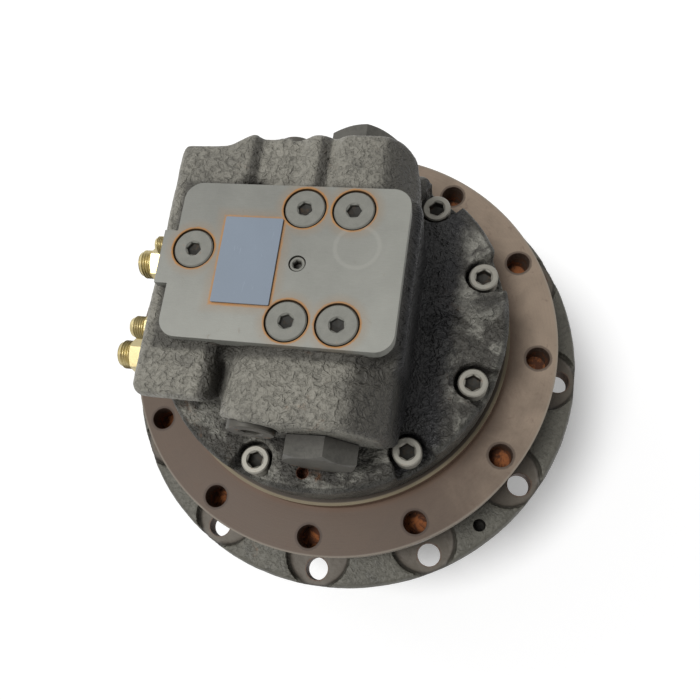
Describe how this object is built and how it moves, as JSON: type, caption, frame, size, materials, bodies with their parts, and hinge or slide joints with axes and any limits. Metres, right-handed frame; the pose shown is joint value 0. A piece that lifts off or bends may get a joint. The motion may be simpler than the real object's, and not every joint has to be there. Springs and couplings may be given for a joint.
{
  "type": "excavator final drive",
  "caption": "Hydraulic travel motor with valve block and planetary hub that drives an excavator's track sprocket",
  "frame": {"origin": "centre of the end cover's flat outer face, on the drive's axis", "axes": "+Z along the drive's axis from the end cover to the valve block, Y along the control spool, -X towards the hose fittings"},
  "size_m": [0.304, 0.304, 0.253],
  "materials": {
    "bare_plate": "dull blue-grey sheet",
    "bearing_steel": "ground bearing steel",
    "bronze": "bearing bronze",
    "dark_casting": "rough sand-cast iron, dull grey",
    "friction_lining": "sintered friction lining",
    "gear_steel": "case-hardened gear steel",
    "hub_casting": "rough cast iron, dark greenish grey",
    "machined_rusted": "turned cast iron with flash rust",
    "machined_steel": "turned steel",
    "screw_steel": "hardened screw steel, worn bright on the edges",
    "seal_rubber": "black nitrile rubber",
    "yellow_zinc": "yellow zinc plated steel"
  },
  "bodies": {
    "frame_side": {"spindle": "machined_rusted", "valve_block": "dark_casting", "bare_plate": "bare_plate", "cover_screw_1": "screw_steel", "cover_screw_2": "screw_steel", "cover_screw_3": "screw_steel", "cover_screw_4": "screw_steel", "cover_screw_5": "screw_steel", "cover_screw_6": "screw_steel", "cover_screw_7": "screw_steel", "face_plug_1": "machined_steel", "face_plug_2": "machined_steel", "face_plug_3": "machined_steel", "face_plug_4": "machined_steel", "face_plug_5": "machined_steel", "centre_plug": "screw_steel", "spool_cap_1": "dark_casting", "spool_cap_2": "dark_casting", "relief_plug_1": "screw_steel", "relief_plug_2": "screw_steel", "hose_fitting_1": "yellow_zinc", "hose_fitting_2": "yellow_zinc", "hose_fitting_3": "yellow_zinc", "hose_fitting_4": "yellow_zinc", "bearing_inner_race_1": "bearing_steel", "bearing_inner_race_2": "bearing_steel", "bearing_nut": "machined_steel", "seal_ring_2": "bearing_steel", "swash_plate": "machined_steel", "valve_plate": "bronze", "brake_plate": "machined_steel", "shaft_bearing_front": "bearing_steel", "shaft_bearing_rear": "bearing_steel", "shaft_seal": "seal_rubber"},
    "hub_side": {"hub": "hub_casting", "end_cover": "dark_casting", "lock_ring": "machined_steel", "cover_plug_1": "screw_steel", "cover_plug_2": "screw_steel", "bearing_outer_race_1": "bearing_steel", "bearing_outer_race_2": "bearing_steel", "seal_ring_1": "bearing_steel"},
    "motor_rotor": {"motor_shaft": "gear_steel", "sun_1": "gear_steel", "cylinder_block": "machined_steel", "piston_set": "bronze", "brake_disc": "friction_lining"},
    "first_carrier": {"planet_carrier_1": "gear_steel", "sun_2": "gear_steel"},
    "bearing_cage_1": {"bearing_balls_1": "bearing_steel"},
    "bearing_cage_2": {"bearing_balls_2": "bearing_steel"},
    "control_spool_body": {"control_spool": "bearing_steel"},
    "brake_piston_body": {"brake_piston": "machined_steel"},
    "planet_1a_body": {"planet_1a": "gear_steel"},
    "planet_1b_body": {"planet_1b": "gear_steel"},
    "planet_1c_body": {"planet_1c": "gear_steel"},
    "planet_2a_body": {"planet_2a": "gear_steel"},
    "planet_2b_body": {"planet_2b": "gear_steel"},
    "planet_2c_body": {"planet_2c": "gear_steel"},
    "planet_2d_body": {"planet_2d": "gear_steel"}
  },
  "joints": [
    {"name": "hub_spin", "type": "hinge", "parent": "frame_side", "child": "hub_side", "pos_m": [0, 0, 0], "axis": [0, 0, 1], "continuous": true},
    {"name": "carrier_spin", "type": "hinge", "parent": "frame_side", "child": "first_carrier", "pos_m": [0, 0, 0], "axis": [0, 0, 1], "continuous": true},
    {"name": "rotor_spin", "type": "hinge", "parent": "frame_side", "child": "motor_rotor", "pos_m": [0, 0, 0], "axis": [0, 0, 1], "continuous": true},
    {"name": "planet_1a_spin", "type": "hinge", "parent": "first_carrier", "child": "planet_1a_body", "pos_m": [0.05625, 0, 0.025], "axis": [0, 0, 1], "continuous": true},
    {"name": "planet_1b_spin", "type": "hinge", "parent": "first_carrier", "child": "planet_1b_body", "pos_m": [-0.02813, 0.04871, 0.025], "axis": [0, 0, 1], "continuous": true},
    {"name": "planet_1c_spin", "type": "hinge", "parent": "first_carrier", "child": "planet_1c_body", "pos_m": [-0.02813, -0.04871, 0.025], "axis": [0, 0, 1], "continuous": true},
    {"name": "planet_2a_spin", "type": "hinge", "parent": "frame_side", "child": "planet_2a_body", "pos_m": [0.05625, 0, 0.0555], "axis": [0, 0, 1], "continuous": true},
    {"name": "planet_2b_spin", "type": "hinge", "parent": "frame_side", "child": "planet_2b_body", "pos_m": [0, 0.05625, 0.0555], "axis": [0, 0, 1], "continuous": true},
    {"name": "planet_2c_spin", "type": "hinge", "parent": "frame_side", "child": "planet_2c_body", "pos_m": [-0.05625, 0, 0.0555], "axis": [0, 0, 1], "continuous": true},
    {"name": "planet_2d_spin", "type": "hinge", "parent": "frame_side", "child": "planet_2d_body", "pos_m": [0, -0.05625, 0.0555], "axis": [0, 0, 1], "continuous": true},
    {"name": "bearing_cage_1_spin", "type": "hinge", "parent": "frame_side", "child": "bearing_cage_1", "pos_m": [0, 0, 0.0838], "axis": [0, 0, 1], "continuous": true},
    {"name": "bearing_cage_2_spin", "type": "hinge", "parent": "frame_side", "child": "bearing_cage_2", "pos_m": [0, 0, 0.1054], "axis": [0, 0, 1], "continuous": true},
    {"name": "control_spool_slide", "type": "slide", "parent": "frame_side", "child": "control_spool_body", "axis": [0, 1, 0], "range_m": [-0.004, 0.004], "stiffness_N_per_m": 4000},
    {"name": "brake_piston_slide", "type": "slide", "parent": "frame_side", "child": "brake_piston_body", "axis": [0, 0, 1], "range_m": [0, 0.0015], "stiffness_N_per_m": 20000}
  ],
  "couplings": [
    {"joint": "carrier_spin", "follows": "hub_spin", "ratio": -4},
    {"joint": "rotor_spin", "follows": "hub_spin", "ratio": -24},
    {"joint": "planet_1a_spin", "follows": "hub_spin", "ratio": 13.333},
    {"joint": "planet_1b_spin", "follows": "hub_spin", "ratio": 13.333},
    {"joint": "planet_1c_spin", "follows": "hub_spin", "ratio": 13.333},
    {"joint": "planet_2a_spin", "follows": "hub_spin", "ratio": 2.6667},
    {"joint": "planet_2b_spin", "follows": "hub_spin", "ratio": 2.6667},
    {"joint": "planet_2c_spin", "follows": "hub_spin", "ratio": 2.6667},
    {"joint": "planet_2d_spin", "follows": "hub_spin", "ratio": 2.6667},
    {"joint": "bearing_cage_1_spin", "follows": "hub_spin", "ratio": 0.53},
    {"joint": "bearing_cage_2_spin", "follows": "hub_spin", "ratio": 0.53}
  ]
}
